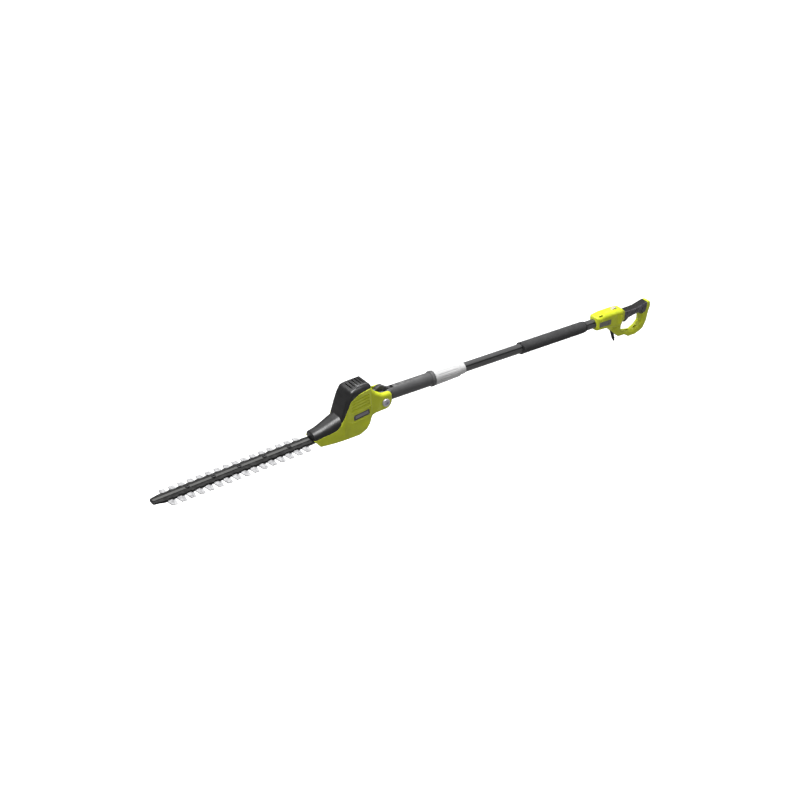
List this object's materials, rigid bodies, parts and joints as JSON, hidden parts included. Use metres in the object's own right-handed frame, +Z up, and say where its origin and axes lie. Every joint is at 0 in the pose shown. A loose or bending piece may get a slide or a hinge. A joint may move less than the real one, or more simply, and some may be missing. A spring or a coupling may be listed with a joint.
{
  "type": "pole hedge trimmer",
  "caption": "Corded pole hedge trimmer with tilting motor head, double-sided reciprocating blade, telescopic pole, foam grip and rear D-handle.",
  "frame": {"origin": "middle of the flat foot under the rear handle loop", "axes": "+X back along the pole past the rear handle, -X towards the blade tip, +Z up, -Y the side with the badge and strap slot"},
  "size_m": [1.7958, 0.088, 0.1723],
  "materials": {
    "green_shell": "moulded lime green housing plastic, light sheen",
    "dark_cover": "satin black moulded plastic",
    "badge": "dark grey blank plate",
    "tube_grey": "dark grey glass-filled plastic",
    "collar_grey": "light grey moulded plastic",
    "pole_black": "black anodised aluminium",
    "foam": "soft textured foam rubber",
    "soft_grip": "moulded soft rubber",
    "black_trim": "black plastic trim",
    "control_grey": "mid grey plastic control",
    "trigger_black": "black plastic control",
    "plate_grey": "grey blank plate",
    "bar_black": "black coated steel",
    "blade_steel": "ground blade steel",
    "zinc_screw": "zinc plated steel",
    "pivot_grey": "satin turned metal cap",
    "steel": "machined steel",
    "lamination": "stacked electrical steel",
    "copper": "enamelled copper winding",
    "commutator_copper": "turned copper segments",
    "brush_carbon": "pressed carbon",
    "brass_holder": "stamped brass",
    "fan_white": "pale moulded plastic",
    "gear_steel": "sintered steel",
    "cast_alu": "die cast aluminium",
    "spring_steel": "spring wire",
    "cord": "black rubber cord",
    "switch_body": "switch body plastic",
    "terminal": "pale terminal block plastic"
  },
  "bodies": {
    "handle_and_pole": {"inner_pole": "pole_black", "pole_end_plug": "black_trim", "coiled_motor_cable": "cord", "foam_grip": "foam", "grip_end_rings": "black_trim", "handle_shell_near": "green_shell", "handle_shell_far": "green_shell", "handle_rubber_grip": "soft_grip", "handle_inset_plate": "plate_grey", "handle_screws": "zinc_screw", "trigger_pin": "steel", "trigger_spring": "spring_steel", "micro_switch": "switch_body", "lock_off_spring": "spring_steel", "terminal_block": "terminal", "strain_relief": "black_trim", "mains_cord": "cord"},
    "trigger_body": {"trigger": "trigger_black"},
    "button_body": {"lock_off_button": "control_grey"},
    "front_tube_body": {"front_tube": "tube_grey", "knuckle_tongue": "tube_grey", "tongue_screws": "zinc_screw", "clamp_collet": "black_trim", "release_lever_pin": "steel", "release_lever_spring": "spring_steel"},
    "collar_body": {"twist_collar": "collar_grey"},
    "lever_body": {"release_lever": "trigger_black"},
    "cutter_head": {"head_shell_near": "green_shell", "head_shell_far": "green_shell", "head_top_cover": "dark_cover", "badge_plate": "badge", "head_shell_screws": "zinc_screw", "motor_stator_core": "lamination", "motor_field_coils": "copper", "motor_bearings": "steel", "carbon_brushes": "brush_carbon", "brush_holders": "brass_holder", "motor_bearing_bridge": "cast_alu", "gear_carrier": "cast_alu", "gearbox_base_plate": "cast_alu", "gearbox_screws": "zinc_screw", "gear_pin": "steel", "bottom_plate": "steel", "blade_support_bar": "bar_black", "blade_bolts": "zinc_screw", "blade_guide_sleeves": "steel", "blade_nuts": "zinc_screw", "pivot_bolt": "pivot_grey", "pivot_nut": "zinc_screw", "locking_disc": "steel"},
    "rotor": {"motor_shaft": "steel", "armature_core": "lamination", "armature_windings": "copper", "commutator": "commutator_copper", "cooling_fan": "fan_white", "motor_pinion": "gear_steel"},
    "cam_gear": {"spur_gear": "gear_steel", "eccentric_cams": "gear_steel"},
    "upper_blade_body": {"upper_blade": "blade_steel"},
    "lower_blade_body": {"lower_blade": "blade_steel"}
  },
  "joints": [
    {"name": "pole_slide", "type": "slide", "parent": "handle_and_pole", "child": "front_tube_body", "axis": [-1, 0, 0], "range_m": [-0.12, 0.02]},
    {"name": "collar_twist", "type": "hinge", "parent": "front_tube_body", "child": "collar_body", "pos_m": [-0.734, 0, 0.084], "axis": [1, 0, 0], "range_deg": [0, 75]},
    {"name": "lever_press", "type": "hinge", "parent": "front_tube_body", "child": "lever_body", "pos_m": [-0.963, 0, 0.0985], "axis": [0, -1, 0], "range_deg": [0, 4], "stiffness_Nm_per_rad": 0.5},
    {"name": "head_tilt", "type": "hinge", "parent": "front_tube_body", "child": "cutter_head", "pos_m": [-0.988, 0, 0.08], "axis": [0, 1, 0], "range_deg": [-90, 45]},
    {"name": "motor_spin", "type": "hinge", "parent": "cutter_head", "child": "rotor", "pos_m": [-1.06992, 0, 0.07635], "axis": [-0.0445, 0, 0.999], "continuous": true},
    {"name": "gear_spin", "type": "hinge", "parent": "cutter_head", "child": "cam_gear", "pos_m": [-1.10594, 0, 0.07475], "axis": [-0.0445, 0, 0.999], "continuous": true},
    {"name": "upper_blade_slide", "type": "slide", "parent": "cutter_head", "child": "upper_blade_body", "axis": [0.999, 0, 0.0445], "range_m": [-0.0105, 0.0035]},
    {"name": "lower_blade_slide", "type": "slide", "parent": "cutter_head", "child": "lower_blade_body", "axis": [0.999, 0, 0.0445], "range_m": [-0.0035, 0.0105]},
    {"name": "trigger_pull", "type": "hinge", "parent": "handle_and_pole", "child": "trigger_body", "pos_m": [-0.0425, 0, 0.0805], "axis": [0, -1, 0], "range_deg": [0, 7], "stiffness_Nm_per_rad": 0.4, "deforming": ["trigger_spring"]},
    {"name": "lock_off_press", "type": "slide", "parent": "handle_and_pole", "child": "button_body", "axis": [0, 0, -1], "range_m": [0, 0.003], "stiffness_N_per_m": 400, "deforming": ["lock_off_spring"]}
  ],
  "couplings": [
    {"joint": "gear_spin", "follows": "motor_spin", "ratio": -0.2},
    {"joint": "lower_blade_slide", "follows": "upper_blade_slide", "ratio": -1}
  ]
}
